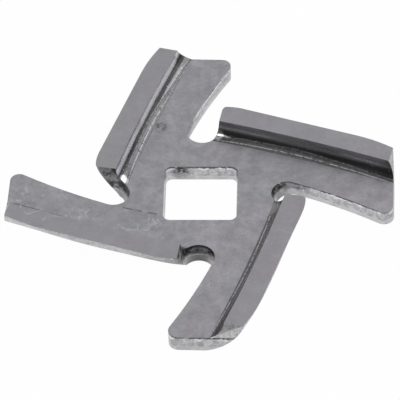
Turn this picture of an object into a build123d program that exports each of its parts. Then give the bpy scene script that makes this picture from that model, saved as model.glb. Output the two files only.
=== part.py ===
from build123d import *
import math
import os

# Meat grinder knife: one flat four-armed steel blank with a square drive hole.
# Each arm sweeps off-centre and carries a raised, flat-ground cutting strip along
# its leading edge, with a concave ground flank behind the strip and a convex
# underside below it. Z = 0 is the flat back, +Z looks at the cutting faces, and
# the turning axis is Z. Plan sizes are given for the arm that points along +X,
# at the front of the body.

# Heights
body_thickness = 2.1      # flat body, back to front
strip_rise = 2.1          # cutting strip above the body
side_draft = 4            # degrees that the side walls widen towards the back

# Square drive hole
drive_square = 9.0        # across flats, at the front
drive_corner_radius = 0.9

# Arms
arm_count = 4
tip_reach = 23.66         # turning axis to the square-cut tip, at its leading end
tip_skew = 1.65           # degrees that the tip line leans in towards its trailing end
tip_width = 9.8           # leading edge to trailing edge, along the tip
tip_corner_radius = 1.1   # trailing corner of the tip

# Leading edge: a straight run, then an arc that falls away to the tip
leading_offset = 13.0     # height of the run above the turning axis, at its root
leading_root = 4.0        # where that height is taken
leading_slope = 18.4      # degrees that the run falls towards the tip
tip_arc_length = 4.66     # how far before the tip the arc begins
tip_arc_fall = 0.71       # how far below the run's line it ends
root_corner_radius = 1.1

# Round-ended notch between an arm's root and the next arm
notch_radius = 1.97
notch_distance = 10.6     # turning axis to the notch's centre
notch_wall_lean = 10      # degrees that the strip's end wall leans towards the tip
notch_flare = 0.5         # how far the notch's round end moves out, front to back

# Trailing edge: an arc tangent to the notch
trailing_start_angle = 20.8   # degrees round the notch where it begins

# Cutting strip's inner edge, at the strip's front: a flat arc through three points
strip_widths = (          # share of the tip reach, width from the leading run's line
    (0.02, 3.35),
    (0.55, 2.99),
    (1.08, 3.44),
)

# Concave flank behind the strip, measured square to its inner edge. Three grinding
# passes leave two crests, which run together at both ends of the strip.
flank_radius = 2.1
flank_width = 1.62
flank_overrun = 0.35      # how far the last pass would carry on below the body's front
pass_hollow = 0.035       # depth of the second and third passes below the flank's curve
crest_stations = (        # share of the inner edge, upper crest, lower crest
    (0.00, 1.20, 1.50),
    (0.18, 0.72, 1.24),
    (0.46, 0.58, 1.12),
    (0.70, 0.86, 1.32),
    (1.00, 1.30, 1.54),
)

# Strip's tip end leans back: its inner edge stops short, and its foot is at the tip
tip_relief = 0.5          # how far short, at the strip's front
tip_relief_width = 3.0    # from the leading run's line to where the inner edge ends
tip_foot_width = 4.86     # from that line to where the flank's foot meets the tip

# Underside below the strip: a convex face from the strip's front edge to the back
underside_stations = (    # share of the tip reach, foot's width, setback, bulge
    (0.063, 3.83, 1.20, 0.33),
    (0.170, 3.80, 0.12, 0.38),
    (0.275, 3.87, 0.00, 0.45),
    (0.486, 3.90, 0.00, 0.55),
    (0.803, 4.31, 0.00, 0.47),
    (0.909, 4.73, 0.00, 0.57),
    (1.023, 5.48, 0.00, 1.00),
)
land_height = 0.12        # upright land left between the strip's front and the underside
land_flare = 0.25         # how far the underside's cutter leans out above the land
margin = 1.0              # how far cutting shapes run past what they cut

top = body_thickness
strip_top = body_thickness + strip_rise
run_angle = math.radians(leading_slope)
skew_angle = math.radians(tip_skew)
wall_lean = math.radians(notch_wall_lean)
trailing_angle = math.radians(trailing_start_angle)
draft = math.tan(math.radians(side_draft))
front_shift = strip_rise * draft
back_shift = body_thickness * draft
flank_foot = flank_width + flank_overrun
ridge_reach = strip_widths[-1][1] + margin    # from the strip's inner edge past its leading edge


def leading_run(x):
    """Height of the leading edge's straight run at x."""
    return leading_offset - (x - leading_root) * math.tan(run_angle)


run_end = (tip_reach - tip_arc_length, leading_run(tip_reach - tip_arc_length))
tip_leading = (tip_reach, leading_run(tip_reach) - tip_arc_fall)
tip_trailing = (
    tip_reach - tip_width * math.sin(skew_angle),
    tip_leading[1] - tip_width * math.cos(skew_angle),
)
chord_angle = math.atan2(run_end[1] - tip_leading[1], tip_arc_length)
tip_angle = 2 * chord_angle - run_angle


def leading_edge(x):
    """Height of the leading edge at x, along the run and the arc after it."""
    if x <= run_end[0]:
        return leading_run(x)
    chord = math.hypot(tip_arc_length, run_end[1] - tip_leading[1])
    radius = chord / (2 * math.sin(chord_angle - run_angle))
    centre_x = run_end[0] - radius * math.sin(run_angle)
    centre_y = run_end[1] - radius * math.cos(run_angle)
    return centre_y + math.sqrt(radius**2 - (x - centre_x) ** 2)


def tip_line(y):
    """Reach of the tip at height y."""
    return tip_reach - (tip_leading[1] - y) * math.tan(skew_angle)


def quarter_turn(point):
    return (-point[1], point[0])


def blank_section(height, grow, flare):
    """Plan of the whole blank, its walls moved out by grow and its notches by flare."""
    radius = notch_radius - grow
    notch_y = notch_distance + flare
    trailing_x = notch_y + radius * math.sin(trailing_angle)
    trailing_start = (trailing_x, radius * math.cos(trailing_angle))
    arm_root = (trailing_start[0] - radius, trailing_start[1] + radius)
    wall_start = (radius * math.cos(wall_lean), notch_y - radius * math.sin(wall_lean))
    wall_drop = leading_run(wall_start[0]) + grow / math.cos(run_angle) - wall_start[1]
    wall_run = math.cos(wall_lean) + math.sin(wall_lean) * math.tan(run_angle)
    wall_length = wall_drop / wall_run
    root_corner = (
        wall_start[0] + wall_length * math.sin(wall_lean),
        wall_start[1] + wall_length * math.cos(wall_lean),
    )
    arc_start = (
        run_end[0] + grow * math.sin(run_angle),
        run_end[1] + grow * math.cos(run_angle),
    )
    arc_end = (
        tip_leading[0] + grow,
        tip_leading[1] + grow * (1 / math.cos(tip_angle) - math.tan(tip_angle)),
    )
    arm_end = (tip_trailing[0] + grow, tip_trailing[1] - grow)
    with BuildSketch() as quarter:
        with BuildLine():
            Polyline((0, 0), arm_root, trailing_start)
            trailing_way = (math.cos(trailing_angle), -math.sin(trailing_angle))
            TangentArc(trailing_start, arm_end, tangent=trailing_way)
            Line(arm_end, arc_end)
            TangentArc(arc_start, arc_end, tangent=(math.cos(run_angle), -math.sin(run_angle)))
            Line(arc_start, root_corner)
            Line(root_corner, wall_start)
            ThreePointArc(wall_start, (0, notch_y - radius), quarter_turn(trailing_start))
            Polyline(quarter_turn(trailing_start), quarter_turn(arm_root), (0, 0))
        make_face()
        tip_corner = quarter.vertices().sort_by_distance((*arm_end, 0))[0]
        fillet(tip_corner, tip_corner_radius + grow)
        strip_corner = quarter.vertices().sort_by_distance((*root_corner, 0))[0]
        fillet(strip_corner, root_corner_radius + grow)
    with BuildSketch(Plane.XY.offset(height)) as plan:
        with PolarLocations(0, arm_count):
            add(quarter.sketch)
    return plan.sketch


def flank_height(width):
    """Height of the flank's curve above the body, at a width from the inner edge."""
    centre = math.sqrt(flank_radius**2 - (flank_radius - flank_width) ** 2)
    return centre - math.sqrt(flank_radius**2 - (flank_radius - width) ** 2)


def flank_point(width, hollow=0):
    """Point of the flank, from the strip's inner edge at its front."""
    return (width, flank_height(width) - hollow - strip_rise)


# The strip's inner edge, at its front
inner_edge_points = []
for share, width in strip_widths:
    x = share * tip_reach
    inner_edge_points.append((x, leading_run(x) - width))
with BuildLine(Plane.XY.offset(strip_top)) as inner_edge:
    ThreePointArc(*inner_edge_points)

# Ridge that stands for one strip: its outer side lies clear of the leading edge
with BuildPart() as ridge:
    for share, upper_crest, lower_crest in crest_stations:
        along = inner_edge.edge() % share
        across = Vector(along.Y, -along.X)
        with BuildSketch(Plane(inner_edge.edge() @ share, x_dir=across, z_dir=-along)):
            with BuildLine():
                Line((0, margin), (0, 0))
                ThreePointArc((0, 0), flank_point(upper_crest / 3), flank_point(upper_crest))
                ThreePointArc(
                    flank_point(upper_crest),
                    flank_point((upper_crest + lower_crest) / 2, pass_hollow),
                    flank_point(lower_crest),
                )
                ThreePointArc(
                    flank_point(lower_crest),
                    flank_point((lower_crest + flank_foot) / 2, pass_hollow),
                    flank_point(flank_foot),
                )
                Polyline(
                    flank_point(flank_foot),
                    (flank_foot, -strip_rise - margin),
                    (-ridge_reach, -strip_rise - margin),
                    (-ridge_reach, margin),
                    (0, margin),
                )
            make_face()
    loft()
    relief_y = leading_run(tip_reach) - tip_relief_width
    foot_y = leading_run(tip_reach) - tip_foot_width
    tip_front = Vector(tip_reach - front_shift, tip_leading[1], strip_top)
    tip_inner = Vector(tip_line(relief_y) - front_shift - tip_relief, relief_y, strip_top)
    tip_foot = Vector(tip_line(foot_y), foot_y, top)
    tip_normal = (tip_foot - tip_front).cross(tip_inner - tip_front)
    split(bisect_by=Plane(tip_front, z_dir=tip_normal), keep=Keep.TOP)

# Everything in front of the body but the ridges
with BuildPart() as recess:
    with BuildSketch(Plane.XY.offset(top)):
        Circle(tip_reach + leading_offset)
    extrude(amount=strip_rise + margin / 2)
    with PolarLocations(0, arm_count):
        add(ridge.part, mode=Mode.SUBTRACT)

# Underside below one strip
with BuildPart() as underside:
    for share, foot_width, setback, bulge in underside_stations:
        station = share * tip_reach
        foot = leading_run(station) - foot_width
        outer = leading_edge(station) - front_shift - setback
        land_foot = strip_top - land_height
        width = outer - foot
        chord = math.hypot(width, land_foot)
        middle = (
            foot + width / 2 + bulge * land_foot / chord,
            land_foot / 2 - bulge * width / chord,
        )
        with BuildSketch(Plane.YZ.offset(station)):
            with BuildLine():
                ThreePointArc((foot, 0), middle, (outer, land_foot))
                Polyline(
                    (outer, land_foot),
                    (outer + land_flare, land_foot + margin),
                    (outer + margin, land_foot + margin),
                    (outer + margin, -margin),
                    (foot, -margin),
                    (foot, 0),
                )
            make_face()
    loft()

with BuildPart() as knife:
    add(blank_section(strip_top, -front_shift, 0))
    add(blank_section(top, 0, 0))
    add(blank_section(0, back_shift, notch_flare))
    loft(ruled=True)
    add(recess.part, mode=Mode.SUBTRACT)
    with PolarLocations(0, arm_count):
        add(underside.part, mode=Mode.SUBTRACT)
    with BuildSketch(Plane.XY.offset(top)):
        RectangleRounded(drive_square, drive_square, drive_corner_radius)
    extrude(amount=-body_thickness, taper=side_draft, mode=Mode.SUBTRACT)

knife.part.label = "grinder_knife"
os.makedirs("parts", exist_ok=True)
export_step(knife.part, "parts/grinder_knife.step")
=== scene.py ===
"""Meat grinder knife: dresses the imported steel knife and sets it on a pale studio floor."""
import math

import bmesh
import bpy
from bpy.props import FloatProperty, FloatVectorProperty, PointerProperty
from bpy.types import Operator, Panel, PropertyGroup
from mathutils import Matrix, Vector


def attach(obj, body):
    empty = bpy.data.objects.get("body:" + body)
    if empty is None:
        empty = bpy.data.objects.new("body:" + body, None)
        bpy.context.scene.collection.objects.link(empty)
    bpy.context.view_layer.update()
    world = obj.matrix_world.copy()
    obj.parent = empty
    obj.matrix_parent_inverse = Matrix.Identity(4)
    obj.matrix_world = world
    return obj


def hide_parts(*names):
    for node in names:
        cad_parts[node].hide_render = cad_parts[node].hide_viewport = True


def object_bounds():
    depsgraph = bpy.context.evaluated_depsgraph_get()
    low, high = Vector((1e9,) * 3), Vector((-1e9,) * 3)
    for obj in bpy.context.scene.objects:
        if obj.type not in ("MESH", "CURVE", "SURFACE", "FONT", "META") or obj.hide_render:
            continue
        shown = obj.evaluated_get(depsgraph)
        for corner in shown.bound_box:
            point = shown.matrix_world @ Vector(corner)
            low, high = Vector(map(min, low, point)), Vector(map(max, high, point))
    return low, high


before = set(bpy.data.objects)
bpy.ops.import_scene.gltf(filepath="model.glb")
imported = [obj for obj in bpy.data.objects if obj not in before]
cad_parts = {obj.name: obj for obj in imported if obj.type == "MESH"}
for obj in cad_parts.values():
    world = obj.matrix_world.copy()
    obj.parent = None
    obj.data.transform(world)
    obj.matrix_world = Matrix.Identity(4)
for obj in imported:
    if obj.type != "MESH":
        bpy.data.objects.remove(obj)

bl_info = {
    "name": "Meat Grinder Knife",
    "version": (1, 0, 0),
    "blender": (4, 5, 0),
    "location": "View3D > Sidebar > Knife",
    "description": "Dresses the grinder knife in ground and worn steel and sets its stage",
    "category": "Object",
}

MM = 0.001
KNIFE_NODE = "grinder_knife"
BODY = "root"
BOX_LOW, BOX_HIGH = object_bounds()
STRIP_TOP = BOX_HIGH.z                 # ground faces of the cutting strips
BODY_TOP = STRIP_TOP / 2               # the strips stand as high again as the body is thick

# Camera: where it stands and how it is turned, in the knife's frame
CAMERA_PLACE = Vector((15.042, -285.974, 299.392)) * MM
CAMERA_TURN = (43.7905, 1.5134, 1.4514)    # degrees about X, Y, Z
CAMERA_LENS = 304.47                       # for a 36 mm sensor
CAMERA_CLIP = (0.01, 20.0)                 # nearest and farthest it sees

# Light
LAMP_WAY = (0.711, 0.444, 0.545)           # from the knife to the soft lamp
GLINT_PLACE = (1.99, 9.66, 2.54)           # flank root that catches the small lamp, in mm
GLINT_WAY = (-0.362, -0.512, 0.779)        # from there to the small lamp
DARK_WAY = (-0.35, -0.85, 0.40)            # the way the room is darkest
DARK_REACH = (0.45, 0.85)                  # nearness to that way where it turns dark
FLOOR_GAP = 0.02 * MM                      # keeps the floor off the knife's flat back
FLOOR_GRAZING = (0.50, 0.72)               # share of a grazing look where the floor turns dark

# Zones by distance from the turning axis, in mm: each pair is a soft border
HOLE_ZONE = (8.0, 7.0)
ARM_ZONE = (12.0, 14.0)
NOTCH_RIM = ((8.0, 8.8), (13.2, 12.4))

# Bands of height, as shares of the body's thickness: each pair is a soft border
WALL_UPPER = (0.34, 0.46)
WALL_PARTING = ((0.30, 0.38), (0.47, 0.40))
# where the notch walls turn darker: ragged steel, and partly painted shade
WALL_TORN_AND_SHADE = (0.42, 0.62)
WALL_LIP = ((0.70, 0.78), (0.88, 0.84))
WALL_RIM = (0.86, 0.91)
EDGE_CREST = ((1.01, 1.05), (1.84, 1.72))
# where the notch rims turn lighter: worn steel, and partly a painted highlight
EDGE_TORN_AND_GLINT = ((0.90, 0.95), (1.01, 1.00))

# Marks, each at its place on the knife; places, radii and widths in mm. The white spots at two
# flank roots and the nick glint are painted highlights
# painted highlights: the first two turn two flank roots white, on top of the lamps' own glare
# there; the third is a lighter grey patch at a third root
ROOT_SPOTS = (                             # place, radius, tone, how metallic
    ((-9.45, 2.05, 2.39), 0.75, 1.0, 1.0),
    ((1.99, 9.66, 2.54), 0.8, 1.0, 1.0),
    ((8.8, -2.75, 2.5), 1.3, 0.42, 0.4),
)
DARK_LINES = (                             # start, end, width
    ((-9.3, -2.45, 2.1), (-7.1, -3.08, 2.1), 0.2),
    ((-6.22, -3.29, 2.1), (-5.35, -3.50, 2.1), 0.2),
    ((-22.4, -3.76, 4.2), (-16.5, -5.78, 4.2), 0.16),
)
CURL_PLACES = (((-8.7, -5.5, 2.1), 2.2), ((-6.0, -5.3, 2.1), 1.8), ((-14.5, -4.3, 2.1), 2.5))
LOOP_PLACE = ((-19.5, -2.0, 2.1), 6.5)
SPECKLED_PLACE = ((7.0, -11.0, 2.1), 13.0)
SMUDGE_PLACE = ((-5.3, 11.4, 2.1), 1.3)
HOLE_STAIN_PLACE = ((-2.6, 4.6, 1.3), 1.6)
# painted highlight: a white glint where a nick in a crest catches light
NICK_GLINT_PLACE = ((-5.77, 13.35, 2.2), 0.35)

FLANK_PLACE = "flank_place"    # along the arm, in from the strip's edge, share between crests
FLANK_ENDS = ((6.0, 3.0), (21.0, 23.0))    # where a flank turns darker along the arm, in mm
FOOT_START = (-0.04, 0.12)                 # share between crests where the worn foot starts
UPPER_LINE = (0.14, 0.05)                  # soft border of the light line along the upper crest
LOWER_LINE = (0.16, 0.06)                  # and of the one along the lower crest

TINT = (1.025, 0.98, 1.02)                 # faint purple of some of the steel
WHITE = (1.0, 1.0, 1.0, 1.0)
FINE_BUMP, WALL_BUMP = 0.004 * MM, 0.014 * MM


class KnifeSteel(PropertyGroup):
    """Sizes and colours of the steel."""

    ground_colour: FloatVectorProperty(
        name="Ground faces", description="Colour of the ground front and back faces",
        subtype="COLOR", size=3, min=0, max=1, default=(0.575, 0.575, 0.605))
    riser_colour: FloatVectorProperty(
        name="Risers", description="Colour of the polished upper part of the flanks",
        subtype="COLOR", size=3, min=0, max=1, default=(0.78, 0.77, 0.79))
    groove_colour: FloatVectorProperty(
        name="Grooves", description="Colour of the stained lower part of the flanks",
        subtype="COLOR", size=3, min=0, max=1, default=(0.21, 0.205, 0.212))
    foot_colour: FloatVectorProperty(
        name="Feet", description="Colour of the worn facets below the crests",
        subtype="COLOR", size=3, min=0, max=1, default=(0.235, 0.23, 0.24))
    wall_colour: FloatVectorProperty(
        name="Walls", description="Colour of the pressed side walls",
        subtype="COLOR", size=3, min=0, max=1, default=(0.45, 0.447, 0.46))
    # also used for painted shade on the notch walls
    stain_and_shade_colour: FloatVectorProperty(
        name="Stains", description="Colour of dirt left on the walls of notches and hole",
        subtype="COLOR", size=3, min=0, max=1, default=(0.055, 0.052, 0.056))
    edge_colour: FloatVectorProperty(
        name="Edges", description="Colour of the worn edges",
        subtype="COLOR", size=3, min=0, max=1, default=(0.78, 0.775, 0.79))
    ground_roughness: FloatProperty(
        name="Ground roughness", description="Roughness of the ground faces",
        subtype="FACTOR", min=0, max=1, default=0.42)
    flank_roughness: FloatProperty(
        name="Flank roughness", description="Roughness of the concave flanks",
        subtype="FACTOR", min=0, max=1, default=0.24)
    groove_roughness: FloatProperty(
        name="Groove roughness", description="Roughness of the lower part of the flanks",
        subtype="FACTOR", min=0, max=1, default=0.14)
    foot_roughness: FloatProperty(
        name="Foot roughness", description="Roughness of the worn facets below the crests",
        subtype="FACTOR", min=0, max=1, default=0.38)
    edge_round: FloatProperty(
        name="Edge rounding", description="Rounding along the crests, twice that of other edges",
        unit="LENGTH", subtype="DISTANCE", min=0, max=0.3 * MM, default=0.11 * MM)


class KnifeStudio(PropertyGroup):
    """Floor, lamps and surroundings."""

    floor_colour: FloatVectorProperty(
        name="Floor", description="Colour of the floor",
        subtype="COLOR", size=3, min=0, max=1, default=(0.98, 0.98, 0.98))
    floor_size: FloatProperty(
        name="Floor size", description="Side of the square floor",
        unit="LENGTH", subtype="DISTANCE", min=0.1, max=10, default=3.0)
    shadow_strength: FloatProperty(
        name="Shadow", description="How much of the floor's shading the camera sees",
        subtype="FACTOR", min=0, max=1, default=0.015)
    sky_strength: FloatProperty(
        name="Surroundings", description="Brightness of the room beyond the knife",
        min=0, max=5, default=0.5)
    sky_fall: FloatProperty(
        name="Dark side", description="How much darker the room is above the near side",
        min=0, max=5, default=0.42)
    floor_fall: FloatProperty(
        name="Grazing floor", description="How dark metal sees the floor when it looks along it",
        subtype="FACTOR", min=0, max=1, default=0.95)
    lamp_power: FloatProperty(
        name="Lamp power", description="Power of the soft lamp on the right",
        unit="POWER", min=0, max=100, default=0.24)
    lamp_size: FloatProperty(
        name="Lamp size", description="Width of the soft lamp",
        unit="LENGTH", subtype="DISTANCE", min=0.01, max=2, default=0.29)
    lamp_distance: FloatProperty(
        name="Lamp distance", description="Distance of the soft lamp from the knife",
        unit="LENGTH", subtype="DISTANCE", min=0.05, max=5, default=0.5)
    glint_power: FloatProperty(
        name="Glint power", description="Power of the small lamp that lights one flank's root",
        unit="POWER", min=0, max=1, default=0.0006)
    glint_size: FloatProperty(
        name="Glint lamp size", description="Width of the small lamp",
        unit="LENGTH", subtype="DISTANCE", min=MM, max=0.1, default=8 * MM)
    glint_distance: FloatProperty(
        name="Glint lamp distance", description="Distance of the small lamp from that root",
        unit="LENGTH", subtype="DISTANCE", min=0.02, max=1, default=80 * MM)


def new_object(name, data):
    piece = bpy.data.objects.new(name, data)
    bpy.context.scene.collection.objects.link(piece)
    return piece


# --------------------------------------------------------------------------- node helpers

MIX_COLOUR = ("RGBA", 6, 7, 2)     # kind of a mix node, its two inputs and its output
MIX_VALUE = ("FLOAT", 2, 3, 0)


class Tree:
    """Adds nodes to one node tree and joins them."""

    def __init__(self, tree):
        self.tree = tree

    def add(self, kind, inputs=None, **settings):
        node = self.tree.nodes.new(kind)
        for key, value in settings.items():
            setattr(node, key, value)
        for key, value in (inputs or {}).items():
            self.feed(node, key, value)
        return node

    def feed(self, node, key, value):
        """Joins an output to an input, or sets the input to a plain value."""
        socket = node.inputs[key]
        if isinstance(value, bpy.types.NodeSocket):
            self.tree.links.new(value, socket)
        else:
            socket.default_value = value

    def math(self, operation, first, second=0.0, clamp=False):
        node = self.add("ShaderNodeMath", {0: first, 1: second}, operation=operation)
        node.use_clamp = clamp
        return node.outputs[0]

    def band(self, value, start, end):
        """Goes smoothly from 0 at start to 1 at end, which may be the lower of the two."""
        node = self.add(
            "ShaderNodeMapRange",
            {"Value": value, "From Min": start, "From Max": end},
            interpolation_type="SMOOTHSTEP")
        return node.outputs["Result"]

    def between(self, value, start, end):
        """1 between two soft borders, 0 beyond them."""
        return self.product(self.band(value, *start), self.band(value, *end))

    def level(self, value, low, high):
        """Spreads 0 to 1 over low to high."""
        return self.math("ADD", self.math("MULTIPLY", value, high - low), low)

    def product(self, first, *others):
        for value in others:
            first = self.math("MULTIPLY", first, value)
        return first

    def highest(self, first, *others):
        for value in others:
            first = self.math("MAXIMUM", first, value)
        return first

    def off(self, value, middle):
        """How far a value is from a middle one."""
        return self.math("ABSOLUTE", self.math("SUBTRACT", value, middle))

    def scaled(self, colour, value):
        """Colour made lighter or darker by a value."""
        if not isinstance(colour, bpy.types.NodeSocket):
            colour = colour[:3]
        node = self.add("ShaderNodeVectorMath", {0: colour, "Scale": value}, operation="SCALE")
        return node.outputs[0]

    def mix(self, sockets, factor, first, second):
        """Goes from first to second; sockets says of which kind they are."""
        kind, first_input, second_input, result = sockets
        node = self.add("ShaderNodeMix", data_type=kind)
        for key, value in ((0, factor), (first_input, first), (second_input, second)):
            self.feed(node, key, value)
        return node.outputs[result]

    def blend(self, factor, first, second):
        """Goes from one colour to another."""
        return self.mix(MIX_COLOUR, factor, first, second)

    def blend_value(self, factor, first, second):
        return self.mix(MIX_VALUE, factor, first, second)

    def surface(self, shader):
        """Makes a shader the material's surface."""
        output = self.add("ShaderNodeOutputMaterial")
        self.tree.links.new(shader.outputs[0], output.inputs["Surface"])

    def overlay(self, share, first, second):
        """Mixes two shaders."""
        node = self.add("ShaderNodeMixShader", {0: share})
        self.tree.links.new(first.outputs[0], node.inputs[1])
        self.tree.links.new(second.outputs[0], node.inputs[2])
        return node

    def noise(self, vector, scale, detail, roughness, distortion=0.0):
        node = self.add(
            "ShaderNodeTexNoise",
            {"Vector": vector, "Scale": scale, "Detail": detail,
             "Roughness": roughness, "Distortion": distortion})
        return node.outputs["Fac"]

    def stretch(self, vector, scale):
        return self.add("ShaderNodeMapping", {"Vector": vector, "Scale": scale}).outputs[0]


def shade(colour, amount=1.0, tint=(1.0, 1.0, 1.0)):
    """A colour made lighter or darker, and tinted, with full alpha."""
    return (*(part * amount * hue for part, hue in zip(colour, tint)), 1.0)


def in_mm(*numbers):
    """Numbers in millimetres as Blender's lengths."""
    return [number * MM for number in numbers]


def group_tree(name, inputs, outputs):
    """A shader group with named inputs and outputs; returns its nodes to fill."""
    tree = bpy.data.node_groups.new(name, "ShaderNodeTree")
    for label, kind, value in inputs:
        socket = tree.interface.new_socket(name=label, in_out="INPUT", socket_type=kind)
        if value is not None:
            socket.default_value = value
    for label, kind in outputs:
        tree.interface.new_socket(name=label, in_out="OUTPUT", socket_type=kind)
    nodes = Tree(tree)
    return nodes, nodes.add("NodeGroupInput"), nodes.add("NodeGroupOutput")


FLOAT, VECTOR = "NodeSocketFloat", "NodeSocketVector"


def build_grain():
    """Cloudy and fine grain of ground steel, and rare dark and light specks, 0 to 1."""
    nodes, given, result = group_tree(
        "steel_grain",
        (("Place", VECTOR, None), ("Cloud Scale", FLOAT, 400.0), ("Grain Scale", FLOAT, 1900.0)),
        (("Cloud", FLOAT), ("Grain", FLOAT), ("Dark Speck", FLOAT), ("Light Speck", FLOAT)))
    place = given.outputs["Place"]
    cloud = nodes.noise(place, given.outputs["Cloud Scale"], 4.0, 0.6)
    grain = nodes.noise(place, given.outputs["Grain Scale"], 3.0, 0.65)
    moved = nodes.add("ShaderNodeVectorMath", {0: place, 1: (0.31, 0.17, 0.23)}, operation="ADD")
    elsewhere = nodes.noise(moved.outputs[0], given.outputs["Grain Scale"], 1.0, 0.5)
    nodes.feed(result, "Cloud", nodes.band(cloud, 0.3, 0.7))
    nodes.feed(result, "Grain", nodes.band(grain, 0.28, 0.72))
    nodes.feed(result, "Dark Speck", nodes.band(grain, 0.64, 0.74))
    nodes.feed(result, "Light Speck", nodes.band(elsewhere, 0.68, 0.76))
    return nodes.tree


def build_streaks():
    """Streaks drawn out along the first axis of a place."""
    nodes, given, result = group_tree(
        "drawn_streaks",
        (("Place", VECTOR, None), ("Long Scale", FLOAT, 60.0), ("Cross Scale", FLOAT, 1200.0)),
        (("Streak", FLOAT),))
    split = nodes.add("ShaderNodeSeparateXYZ", {0: given.outputs["Place"]}).outputs
    drawn = nodes.add("ShaderNodeCombineXYZ", {
        axis: nodes.product(split[axis], given.outputs[scale])
        for axis, scale in (("X", "Long Scale"), ("Y", "Cross Scale"), ("Z", "Cross Scale"))})
    streak = nodes.noise(drawn.outputs[0], 1.0, 4.0, 0.65, 0.2)
    nodes.feed(result, "Streak", nodes.band(streak, 0.3, 0.7))
    return nodes.tree


def build_scratches():
    """Sparse thin straight scratches in two directions, 0 to 1."""
    nodes, given, result = group_tree(
        "scratches",
        (("Place", VECTOR, None), ("Turn", FLOAT, 0.4)),
        (("Scratch", FLOAT),))
    drawn = []
    for turn, scale in ((0.0, (30.0, 900.0, 30.0)), (1.1, (700.0, 45.0, 40.0))):
        turned = nodes.math("ADD", given.outputs["Turn"], turn)
        angle = nodes.add("ShaderNodeCombineXYZ", {"Z": turned})
        spun = nodes.add("ShaderNodeVectorRotate", {
            "Vector": given.outputs["Place"], "Rotation": angle.outputs[0]},
            rotation_type="EULER_XYZ")
        lines = nodes.noise(nodes.stretch(spun.outputs[0], scale), 1.0, 2.0, 0.5, 0.15)
        patch = nodes.noise(given.outputs["Place"], 110.0 + 40.0 * turn, 2.0, 0.5)
        drawn.append(nodes.product(nodes.band(lines, 0.68, 0.78), nodes.band(patch, 0.52, 0.62)))
    nodes.feed(result, "Scratch", nodes.highest(*drawn))
    return nodes.tree


def build_scuffs():
    """Thin curling scuffs: the contour lines of a slow noise."""
    nodes, given, result = group_tree(
        "scuffs",
        (("Place", VECTOR, None), ("Scale", FLOAT, 200.0), ("Width", FLOAT, 0.012)),
        (("Scuff", FLOAT),))
    slow = nodes.noise(given.outputs["Place"], given.outputs["Scale"], 1.5, 0.45, 0.6)
    lines = [nodes.band(nodes.off(slow, height), given.outputs["Width"], 0.0)
             for height in (0.42, 0.5, 0.58)]
    worn = nodes.noise(given.outputs["Place"], 900.0, 2.0, 0.6)
    nodes.feed(result, "Scuff", nodes.product(nodes.highest(*lines), nodes.band(worn, 0.4, 0.6)))
    return nodes.tree


def build_round_mark():
    """A soft round mark at a place: 1 in its middle, 0 beyond its radius."""
    nodes, given, result = group_tree(
        "round_mark",
        (("Place", VECTOR, None), ("Centre", VECTOR, None), ("Radius", FLOAT, 1.0 * MM),
         ("Soft", FLOAT, 0.3)),
        (("Mark", FLOAT),))
    away = nodes.add("ShaderNodeVectorMath", {
        0: given.outputs["Place"], 1: given.outputs["Centre"]}, operation="DISTANCE")
    radius = given.outputs["Radius"]
    inside = nodes.product(radius, given.outputs["Soft"])
    nodes.feed(result, "Mark", nodes.band(away.outputs["Value"], radius, inside))
    return nodes.tree


def build_line_mark():
    """A thin straight mark from one place to another."""
    nodes, given, result = group_tree(
        "line_mark",
        (("Place", VECTOR, None), ("From", VECTOR, None), ("To", VECTOR, None),
         ("Width", FLOAT, 0.1 * MM)),
        (("Mark", FLOAT),))

    def vectors(operation, first, second):
        return nodes.add("ShaderNodeVectorMath", {0: first, 1: second}, operation=operation)

    run = vectors("SUBTRACT", given.outputs["To"], given.outputs["From"]).outputs[0]
    reach = vectors("SUBTRACT", given.outputs["Place"], given.outputs["From"]).outputs[0]
    share = nodes.math("DIVIDE", vectors("DOT_PRODUCT", reach, run).outputs["Value"],
                       vectors("DOT_PRODUCT", run, run).outputs["Value"], clamp=True)
    nearest = nodes.scaled(run, share)
    away = vectors("DISTANCE", reach, nearest).outputs["Value"]
    nodes.feed(result, "Mark", nodes.band(away, given.outputs["Width"], 0.0))
    return nodes.tree


class Finish:
    """One steel material: its nodes, the place and facing of the surface, and its groups."""

    def __init__(self, name, groups):
        self.material = bpy.data.materials.new(name)
        self.material.use_nodes = True
        self.material.node_tree.nodes.clear()
        self.nodes = Tree(self.material.node_tree)
        self.groups = groups
        self.place = self.nodes.add("ShaderNodeTexCoord").outputs["Object"]
        normal = self.nodes.add("ShaderNodeNewGeometry").outputs["Normal"]
        self.lift = self.nodes.add("ShaderNodeSeparateXYZ", {0: normal}).outputs["Z"]
        self.spot = self.nodes.add("ShaderNodeSeparateXYZ", {0: self.place}).outputs

    def group(self, name, place=None, **inputs):
        """Adds a shader group at a place, the surface's own unless another is given."""
        values = {"Place": place or self.place}
        values.update({key.replace("_", " "): value for key, value in inputs.items()})
        node = self.nodes.add("ShaderNodeGroup", node_tree=self.groups[name])
        for key, value in values.items():
            self.nodes.feed(node, key, value)
        return node.outputs

    def round_mark(self, centre, radius, soft=0.3):
        centre = Vector(centre) * MM
        return self.group("round_mark", Centre=centre, Radius=radius * MM, Soft=soft)["Mark"]

    def line_mark(self, start, end, width):
        start, end = Vector(start) * MM, Vector(end) * MM
        return self.group("line_mark", From=start, To=end, Width=width * MM)["Mark"]

    def from_axis(self):
        """Distance from the turning axis."""
        nodes = self.nodes
        squares = [nodes.product(self.spot[axis], self.spot[axis]) for axis in "XY"]
        return nodes.math("SQRT", nodes.math("ADD", *squares))

    def done(self, colour, roughness, bump_height, bump_depth, metal=1.0):
        """Closes the material with its shader and returns it."""
        bump = self.nodes.add("ShaderNodeBump", {"Height": bump_height, "Distance": bump_depth})
        self.nodes.surface(self.nodes.add("ShaderNodeBsdfPrincipled", {
            "Base Color": colour, "Metallic": metal, "Roughness": roughness,
            "Normal": bump.outputs[0]}))
        return self.material


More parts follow.
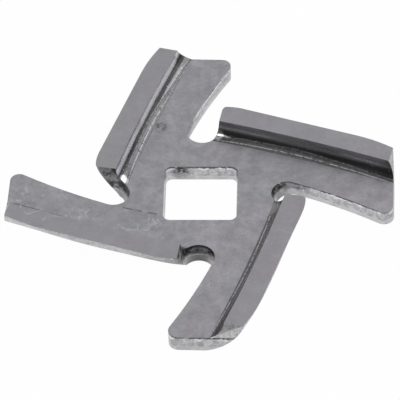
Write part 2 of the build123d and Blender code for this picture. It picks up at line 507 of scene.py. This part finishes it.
def ground_steel(steel, groups):
    """Flat front and back: mottled grey with specks, scuffs and a few scratches."""
    finish = Finish("ground_steel", groups)
    nodes = finish.nodes
    fine = finish.group("steel_grain", Cloud_Scale=430.0, Grain_Scale=2100.0)
    broad = finish.group("steel_grain", Cloud_Scale=80.0, Grain_Scale=900.0)
    strip = nodes.band(finish.spot["Z"], 0.6 * STRIP_TOP, 0.9 * STRIP_TOP)
    calm = nodes.level(strip, 1.0, 0.45)

    mottle = nodes.product(
        nodes.level(fine["Cloud"], 0.90, 1.10), nodes.level(fine["Grain"], 0.92, 1.08),
        nodes.level(broad["Grain"], 0.93, 1.07), nodes.level(broad["Cloud"], 0.96, 1.04))
    mottle = nodes.math("ADD", 1.0, nodes.product(nodes.math("SUBTRACT", mottle, 1.0), calm))
    colour = nodes.blend(nodes.band(broad["Cloud"], 0.4, 0.9), shade(steel.ground_colour),
                         shade(steel.ground_colour, 0.97, TINT))
    colour = nodes.blend(strip, colour, nodes.scaled(colour, 0.96))
    colour = nodes.scaled(colour, mottle)

    speckled = nodes.highest(finish.round_mark(*SPECKLED_PLACE, 0.5), 0.25)
    smudge = nodes.product(finish.round_mark(*SMUDGE_PLACE), nodes.band(fine["Grain"], 0.3, 0.8))
    dark = nodes.highest(nodes.product(fine["Dark Speck"], speckled, calm), smudge)
    broken = nodes.band(broad["Grain"], 0.1, 0.5)
    for line in DARK_LINES:
        dark = nodes.highest(dark, nodes.product(finish.line_mark(*line), broken))
    light = nodes.product(fine["Light Speck"], speckled, calm, 0.8)
    curls = finish.group("scuffs", Scale=380.0, Width=0.022)["Scuff"]
    loops = finish.group("scuffs", Scale=150.0, Width=0.010)["Scuff"]
    worn = nodes.product(loops, finish.round_mark(*LOOP_PLACE, 0.6))
    for place in CURL_PLACES:
        worn = nodes.highest(worn, nodes.product(curls, finish.round_mark(*place, 0.5)))
    scratch = finish.group("scratches", Turn=0.35)["Scratch"]
    light = nodes.highest(light, worn, nodes.product(scratch, 0.35))
    colour = nodes.blend(nodes.product(dark, 0.75), colour, shade(steel.ground_colour, 0.25))
    colour = nodes.blend(nodes.product(light, 0.75), colour, shade(steel.ground_colour, 1.5))

    roughness = nodes.math("ADD", steel.ground_roughness, nodes.level(broad["Grain"], -0.06, 0.06))
    marks = nodes.math("ADD", light, dark)
    relief = nodes.math("SUBTRACT", nodes.product(fine["Grain"], 0.5), marks)
    return finish.done(colour, roughness, relief, FINE_BUMP)


def flank_steel(steel, groups):
    """Concave flanks: polished riser, stained groove, worn foot, light lines along the crests that
    are partly a painted highlight, and painted highlights at two roots.
    """
    finish = Finish("flank_steel", groups)
    nodes = finish.nodes
    placed = nodes.add("ShaderNodeAttribute", attribute_name=FLANK_PLACE).outputs["Vector"]
    spots = nodes.add("ShaderNodeSeparateXYZ", {0: placed}).outputs
    along, share = spots["X"], spots["Z"]
    drawn = nodes.add("ShaderNodeCombineXYZ", {"X": along, "Y": spots["Y"]}).outputs[0]
    streak = finish.group("drawn_streaks", drawn, Long_Scale=70.0, Cross_Scale=2600.0)["Streak"]
    cloud = finish.group("drawn_streaks", drawn, Long_Scale=240.0, Cross_Scale=900.0)["Streak"]
    grain = finish.group("steel_grain", Cloud_Scale=900.0, Grain_Scale=2800.0)

    leaning = nodes.math("ADD", finish.lift, nodes.level(cloud, -0.02, 0.02))
    groove = nodes.band(leaning, 0.40, 0.60)
    below = nodes.band(share, *FOOT_START)
    riser = nodes.scaled(shade(steel.riser_colour), nodes.level(streak, 0.88, 1.04))
    stained = nodes.product(nodes.level(streak, 0.75, 1.25), nodes.level(cloud, 0.8, 1.2))
    hollow = nodes.scaled(shade(steel.groove_colour), stained)
    foot = nodes.scaled(shade(steel.foot_colour), nodes.level(grain["Grain"], 0.82, 1.18))
    colour = nodes.blend(groove, riser, nodes.blend(below, hollow, foot))
    ends = nodes.highest(*(nodes.band(along, *in_mm(*end)) for end in FLANK_ENDS))
    ends = nodes.product(ends, cloud)
    colour = nodes.scaled(colour, nodes.level(ends, 1.0, 0.55))
    specks = nodes.product(grain["Light Speck"], 0.5)
    colour = nodes.blend(specks, colour, shade(steel.edge_colour, 1.2))

    roughness = nodes.blend_value(below, steel.groove_roughness, steel.foot_roughness)
    roughness = nodes.blend_value(groove, steel.flank_roughness, roughness)
    roughness = nodes.math("ADD", roughness, nodes.level(streak, -0.02, 0.03))

    # lighter, rougher, less metallic lines along the crests: worn steel, and partly a painted
    # highlight where the crests catch light
    upper_line = nodes.product(nodes.band(nodes.off(share, 0.0), *UPPER_LINE), 0.45)
    lower_line = nodes.band(nodes.off(share, 1.0), *LOWER_LINE)
    broken = nodes.band(grain["Grain"], 0.15, 0.55)
    lines = nodes.product(nodes.highest(upper_line, lower_line), broken,
                          nodes.level(ends, 1.0, 0.4))
    colour = nodes.blend(lines, colour, shade(steel.edge_colour, 1.1))
    roughness = nodes.blend_value(lines, roughness, steel.foot_roughness)
    metal = nodes.level(lines, 1.0, 0.3)
    # painted highlights: two flank roots turned white, and a lighter grey patch at a third
    for centre, radius, tone, metallic in ROOT_SPOTS:
        spot = finish.round_mark(centre, radius, 0.5)
        colour = nodes.blend(spot, colour, (tone, tone, tone, 1.0))
        metal = nodes.math("SUBTRACT", metal, nodes.product(spot, 1.0 - metallic))
    return finish.done(colour, roughness, streak, FINE_BUMP, metal)


def wall_steel(steel, groups):
    """Side walls: dark rim under the top edge, speckled middle, smooth lower band; ragged dark
    blotches in the notches, partly painted shade; lighter in the hole and on the arms, painted
    light; near white on tilted faces above the body, a painted highlight.
    """
    finish = Finish("wall_steel", groups)
    nodes = finish.nodes
    grain = finish.group("steel_grain", Cloud_Scale=700.0, Grain_Scale=2600.0)
    broad = finish.group("steel_grain", Cloud_Scale=190.0, Grain_Scale=1100.0)
    upright = nodes.noise(nodes.stretch(finish.place, (2300.0, 2300.0, 250.0)), 1.0, 3.0, 0.6)
    upright = nodes.band(upright, 0.3, 0.7)

    height = nodes.math("DIVIDE", finish.spot["Z"], BODY_TOP)
    height = nodes.math("ADD", height, nodes.level(broad["Grain"], -0.06, 0.06))
    upper = nodes.band(height, *WALL_UPPER)
    body = nodes.band(finish.spot["Z"], 1.02 * BODY_TOP, 0.99 * BODY_TOP)
    radius = finish.from_axis()
    outer = nodes.band(radius, *in_mm(*ARM_ZONE))
    hole = nodes.band(radius, *in_mm(*HOLE_ZONE))
    notch = nodes.math("SUBTRACT", 1.0, nodes.highest(outer, hole))
    leaning = nodes.product(nodes.band(finish.spot["Z"], 1.05 * BODY_TOP, 1.15 * BODY_TOP),
                            nodes.band(finish.lift, 0.02, 0.08))

    coarse = nodes.product(nodes.level(grain["Grain"], 0.75, 1.2),
                           nodes.level(upright, 0.88, 1.12))
    # The walls are painted lighter in the hole and on the arms than in the notches, which lie in
    # among the arms: painted light and shade. Tilted faces above the body are painted about twice
    # as light: a painted highlight.
    tone = nodes.product(
        nodes.level(upper, 1.02, 0.92), nodes.level(broad["Cloud"], 0.9, 1.1),
        nodes.level(hole, 1.0, 1.25), nodes.level(outer, 1.0, 1.18),
        nodes.blend_value(upper, 1.0, coarse), nodes.level(leaning, 1.0, 2.1))
    colour = nodes.scaled(shade(steel.wall_colour), tone)

    lip = nodes.product(nodes.between(height, *WALL_LIP), nodes.band(grain["Cloud"], 0.3, 0.7),
                        nodes.level(notch, 1.0, 0.3))
    colour = nodes.blend(nodes.product(lip, 0.8), colour, shade(steel.edge_colour, 1.2))
    parting = nodes.product(nodes.between(height, *WALL_PARTING),
                            nodes.band(broad["Grain"], 0.3, 0.6))
    rim = nodes.product(nodes.band(height, *WALL_RIM), body, nodes.band(broad["Cloud"], 0.15, 0.6))
    blotch = nodes.math("ADD", grain["Cloud"], nodes.product(broad["Grain"], 0.7))
    blotch = nodes.band(blotch, 0.45, 1.1)
    # darker blotches on the upper part of the notch walls: ragged steel, and partly painted shade,
    # as the notches lie in among the arms
    torn_and_painted_light = nodes.product(notch, nodes.band(height, *WALL_TORN_AND_SHADE), nodes.level(blotch, 1.0, 0.45))
    stain = nodes.product(hole, finish.round_mark(*HOLE_STAIN_PLACE), nodes.level(blotch, 1.0, 0.4))
    pits = nodes.product(grain["Dark Speck"], nodes.level(hole, 0.6, 0.9))
    # the stain colour marks stains and pits, and in the notches also painted shade
    dirt_and_painted_shade = nodes.highest(nodes.product(rim, 0.85), nodes.product(parting, 0.35), torn_and_painted_light, stain, pits)
    colour = nodes.blend(dirt_and_painted_shade, colour, shade(steel.stain_and_shade_colour))
    specks = nodes.product(grain["Light Speck"], 0.6)
    colour = nodes.blend(specks, colour, shade(steel.edge_colour, 1.2))

    roughness = nodes.blend_value(leaning, nodes.level(grain["Cloud"], 0.30, 0.44), 0.55)
    relief = nodes.product(nodes.math("ADD", grain["Grain"], upright), nodes.level(upper, 0.2, 1.0))
    return finish.done(colour, roughness, relief, WALL_BUMP, nodes.level(leaning, 1.0, 0.45))


def edge_steel(steel, groups):
    """Worn edges, with a frosting of wear along the crests and where the notches are ragged:
    lighter and less metallic there, partly a painted highlight where they catch light.
    """
    finish = Finish("edge_steel", groups)
    nodes = finish.nodes
    grain = finish.group("steel_grain", Cloud_Scale=600.0, Grain_Scale=2400.0)
    broad = finish.group("steel_grain", Cloud_Scale=150.0, Grain_Scale=1000.0)
    worn = nodes.product(nodes.level(grain["Cloud"], 0.6, 1.15),
                         nodes.level(broad["Cloud"], 0.75, 1.1))
    colour = nodes.scaled(shade(steel.edge_colour), worn)

    height = nodes.math("DIVIDE", finish.spot["Z"], BODY_TOP)
    crest = nodes.product(nodes.between(height, *EDGE_CREST), nodes.band(grain["Grain"], 0.2, 0.6))
    inner_rim, outer_rim = (in_mm(*border) for border in NOTCH_RIM)
    torn_and_painted_light = nodes.product(
        nodes.between(finish.from_axis(), inner_rim, outer_rim),
        nodes.between(height, *EDGE_TORN_AND_GLINT), nodes.band(broad["Grain"], 0.45, 0.7))
    # lighter, less metallic crests and notch rims: a frosting of wear, and partly a painted
    # highlight where they catch light
    frosted_and_highlit = nodes.highest(crest, torn_and_painted_light)
    colour = nodes.blend(frosted_and_highlit, colour, shade(steel.edge_colour, 1.15))
    # painted highlight: the nick glint turned white
    colour = nodes.blend(finish.round_mark(*NICK_GLINT_PLACE), colour, WHITE)
    roughness = nodes.level(grain["Grain"], 0.30, 0.45)
    return finish.done(colour, roughness, grain["Grain"], FINE_BUMP, nodes.level(frosted_and_highlit, 1.0, 0.3))


GROUND, FLANK, WALL, EDGE = range(4)
ARM_COUNT = 4
INNER_START = 10.95 * MM      # strip's inner edge, carried back to the axis
INNER_FALL = 0.2692           # its fall along the arm
INNER_BEND = 2.576            # its further fall with the square of that way, per metre
FLANK_REACH = (-0.1 * MM, 1.9 * MM)    # how far the flank lies from that edge
FLANK_BACK = 0.1              # least that a flank's normal points back from its strip
FLANK_ASIDE = 1.6             # most that it points along the arm, for each part back
LEVEL = 0.99                  # upward part of a flat face's normal
FEATURE_ANGLE = math.radians(5)
CRESTS = (                    # along the arm, in to the upper crest, in to the lower; mm
    (0.5, 1.20, 1.50), (5.0, 0.72, 1.24), (12.0, 0.58, 1.12), (18.0, 0.86, 1.32),
    (25.6, 1.30, 1.54),
)
CREST_WEIGHT, EDGE_WEIGHT = 1.0, 0.5
WELD_GAP = 1e-4 * MM          # corners nearer than this are one corner


def crest_lines(along):
    """How far in from the strip's edge the upper and the lower crest lie."""
    for (start, *first), (end, *last) in zip(CRESTS, CRESTS[1:]):
        if along <= end * MM or end == CRESTS[-1][0]:
            share = (along / MM - start) / (end - start)
            return [(near + (far - near) * share) * MM for near, far in zip(first, last)]


def arm_spot(point, arm):
    """Distances along an arm and in from its strip's edge, and share of the way between crests."""
    turned = Matrix.Rotation(-arm * math.tau / ARM_COUNT, 3, "Z") @ point
    inner = INNER_START - INNER_FALL * turned.x - INNER_BEND * turned.x ** 2
    across = inner - turned.y
    upper, lower = crest_lines(turned.x)
    return Vector((turned.x, across, (across - upper) / (lower - upper)))


def flank_arm(point, normal):
    """The arm whose concave flank a face lies on, or None."""
    if point.z < BODY_TOP or not 0 < normal.z < LEVEL:
        return None
    for arm in range(ARM_COUNT):
        spot = arm_spot(point, arm)
        facing = Matrix.Rotation(-arm * math.tau / ARM_COUNT, 3, "Z") @ normal
        backward = -facing.y > FLANK_BACK and abs(facing.x) < FLANK_ASIDE * -facing.y
        if spot.x > 0 and FLANK_REACH[0] < spot.y < FLANK_REACH[1] and backward:
            return arm
    return None


def finish_faces(shell, places):
    """Gives each face its finish, and the flanks their places along the arm."""
    for face in shell.faces:
        face.smooth = True
        point = face.calc_center_median()
        arm = flank_arm(point, face.normal)
        if arm is not None:
            face.material_index = FLANK
            for corner in face.loops:
                corner[places] = arm_spot(corner.vert.co, arm)
        else:
            face.material_index = GROUND if abs(face.normal.z) > LEVEL else WALL


def weigh_edges(shell, weight):
    """Marks the seams to be rounded; the crests of the flanks are worn widest."""
    for edge in shell.edges:
        feature = edge[weight] > 0 and edge.calc_face_angle(0) > FEATURE_ANGLE
        crest = all(face.material_index == FLANK for face in edge.link_faces)
        edge.smooth = not feature
        edge[weight] = (CREST_WEIGHT if crest else EDGE_WEIGHT) if feature else 0.0


class KNIFE_OT_dress(Operator):
    """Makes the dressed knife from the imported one: rounded edges and its kinds of steel"""

    bl_idname = "knife.dress"
    bl_label = "Dress Knife"

    def execute(self, context):
        steel = context.scene.knife_steel
        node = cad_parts.get(KNIFE_NODE)
        if node is None:
            raise RuntimeError("the packed model has no knife")
        shell = bmesh.new()
        shell.from_mesh(node.data)
        places = shell.loops.layers.float_vector.new(FLANK_PLACE)
        weight = shell.edges.layers.float.new("bevel_weight_edge")
        for edge in shell.edges:
            edge[weight] = float(edge.is_boundary)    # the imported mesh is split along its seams
        bmesh.ops.remove_doubles(shell, verts=shell.verts, dist=WELD_GAP)
        shell.normal_update()
        finish_faces(shell, places)
        weigh_edges(shell, weight)
        mesh = bpy.data.meshes.new("dressed_knife")
        shell.to_mesh(mesh)
        shell.free()
        piece = new_object("dressed_knife", mesh)
        builders = (build_grain, build_streaks, build_scratches, build_scuffs,
                    build_round_mark, build_line_mark)
        groups = {tree.name: tree for tree in (build() for build in builders)}
        for finish in (ground_steel, flank_steel, wall_steel, edge_steel):
            mesh.materials.append(finish(steel, groups))
        rounding = piece.modifiers.new("Edge rounding", "BEVEL")
        rounding.width = steel.edge_round
        rounding.segments = 2
        rounding.limit_method = "WEIGHT"
        rounding.material = EDGE
        rounding.harden_normals = True
        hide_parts(KNIFE_NODE)
        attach(piece, BODY)
        return {"FINISHED"}


def floor_material(studio):
    """Pale floor, white to the camera and to metal that looks down on it, clear from below."""
    material = bpy.data.materials.new("studio_floor")
    material.use_nodes = True
    material.node_tree.nodes.clear()
    nodes = Tree(material.node_tree)
    path = nodes.add("ShaderNodeLightPath").outputs
    look = nodes.add("ShaderNodeLayerWeight", {"Blend": 0.5}).outputs["Facing"]
    behind = nodes.add("ShaderNodeNewGeometry").outputs["Backfacing"]
    grazing = nodes.product(nodes.band(look, *FLOOR_GRAZING), path["Is Glossy Ray"])
    glow = nodes.blend_value(grazing, 1.0, 1.0 - studio.floor_fall)
    seen = nodes.highest(path["Is Camera Ray"], path["Is Glossy Ray"])
    floor = nodes.overlay(
        nodes.product(seen, 1.0 - studio.shadow_strength),
        nodes.add("ShaderNodeBsdfDiffuse", {"Color": shade(studio.floor_colour)}),
        nodes.add("ShaderNodeEmission", {"Color": WHITE, "Strength": glow}))
    clear = nodes.add("ShaderNodeBsdfTransparent")
    nodes.surface(nodes.overlay(nodes.product(behind, path["Is Camera Ray"]), floor, clear))
    return material


def build_surroundings(studio):
    """World: a grey room that grows dark on the camera's side."""
    world = bpy.data.worlds.new("studio")
    world.use_nodes = True
    world.node_tree.nodes.clear()
    nodes = Tree(world.node_tree)
    way = nodes.add("ShaderNodeTexCoord").outputs["Generated"]
    toward = Vector(DARK_WAY).normalized()
    near = nodes.add("ShaderNodeVectorMath", {0: way, 1: toward}, operation="DOT_PRODUCT")
    share = nodes.band(near.outputs["Value"], *DARK_REACH)
    tone = nodes.math("SUBTRACT", studio.sky_strength, nodes.product(share, studio.sky_fall))
    path = nodes.add("ShaderNodeLightPath").outputs
    tone = nodes.blend_value(path["Is Camera Ray"], tone, 1.0)
    background = nodes.add("ShaderNodeBackground", {"Color": WHITE, "Strength": tone})
    output = nodes.add("ShaderNodeOutputWorld")
    nodes.tree.links.new(background.outputs[0], output.inputs["Surface"])
    return world


def hang_lamp(name, target, way, distance, size, power):
    """A round lamp at a distance from its target, facing it."""
    lamp = bpy.data.lights.new(name, "AREA")
    lamp.shape = "DISK"
    lamp.size = size
    lamp.energy = power
    hung = new_object(name, lamp)
    hung.location = target + Vector(way).normalized() * distance
    hung.rotation_euler = Vector(way).to_track_quat("Z", "Y").to_euler()


class KNIFE_OT_stage(Operator):
    """Lays the floor, hangs the lamps, darkens the room's near side and places the camera"""

    bl_idname = "knife.stage"
    bl_label = "Set Stage"

    def execute(self, context):
        studio = context.scene.knife_studio
        scene = context.scene
        half = studio.floor_size / 2
        sheet = bmesh.new()
        bmesh.ops.create_grid(sheet, x_segments=1, y_segments=1, size=half)
        mesh = bpy.data.meshes.new("studio_floor")
        sheet.to_mesh(mesh)
        sheet.free()
        mesh.materials.append(floor_material(studio))
        floor = new_object("studio_floor", mesh)
        floor.location.z = BOX_LOW.z - FLOOR_GAP

        hang_lamp("soft_lamp", Vector(), LAMP_WAY,
                  studio.lamp_distance, studio.lamp_size, studio.lamp_power)
        hang_lamp("glint_lamp", Vector(GLINT_PLACE) * MM, GLINT_WAY,
                  studio.glint_distance, studio.glint_size, studio.glint_power)

        scene.world = build_surroundings(studio)
        scene.view_settings.view_transform = "Standard"

        camera = bpy.data.cameras.new("camera")
        camera.lens = CAMERA_LENS
        camera.clip_start, camera.clip_end = CAMERA_CLIP
        eye = new_object("camera", camera)
        eye.location = CAMERA_PLACE
        eye.rotation_euler = [math.radians(angle) for angle in CAMERA_TURN]
        scene.camera = eye
        return {"FINISHED"}


class KNIFE_PT_panel(Panel):
    """Knife tools in the 3D view's sidebar"""

    bl_label = "Grinder Knife"
    bl_idname = "KNIFE_PT_panel"
    bl_space_type = "VIEW_3D"
    bl_region_type = "UI"
    bl_category = "Knife"

    def draw(self, context):
        layout = self.layout
        for group, operator in (
            (context.scene.knife_steel, KNIFE_OT_dress),
            (context.scene.knife_studio, KNIFE_OT_stage),
        ):
            for name in group.__annotations__:
                layout.prop(group, name)
            layout.operator(operator.bl_idname)


CLASSES = (KnifeSteel, KnifeStudio, KNIFE_OT_dress, KNIFE_OT_stage, KNIFE_PT_panel)


def register():
    for item in CLASSES:
        bpy.utils.register_class(item)
    bpy.types.Scene.knife_steel = PointerProperty(type=KnifeSteel)
    bpy.types.Scene.knife_studio = PointerProperty(type=KnifeStudio)


def unregister():
    del bpy.types.Scene.knife_steel
    del bpy.types.Scene.knife_studio
    for item in reversed(CLASSES):
        bpy.utils.unregister_class(item)


def main():
    register()
    bpy.ops.knife.dress()
    bpy.ops.knife.stage()


if __name__ == "__main__":
    main()
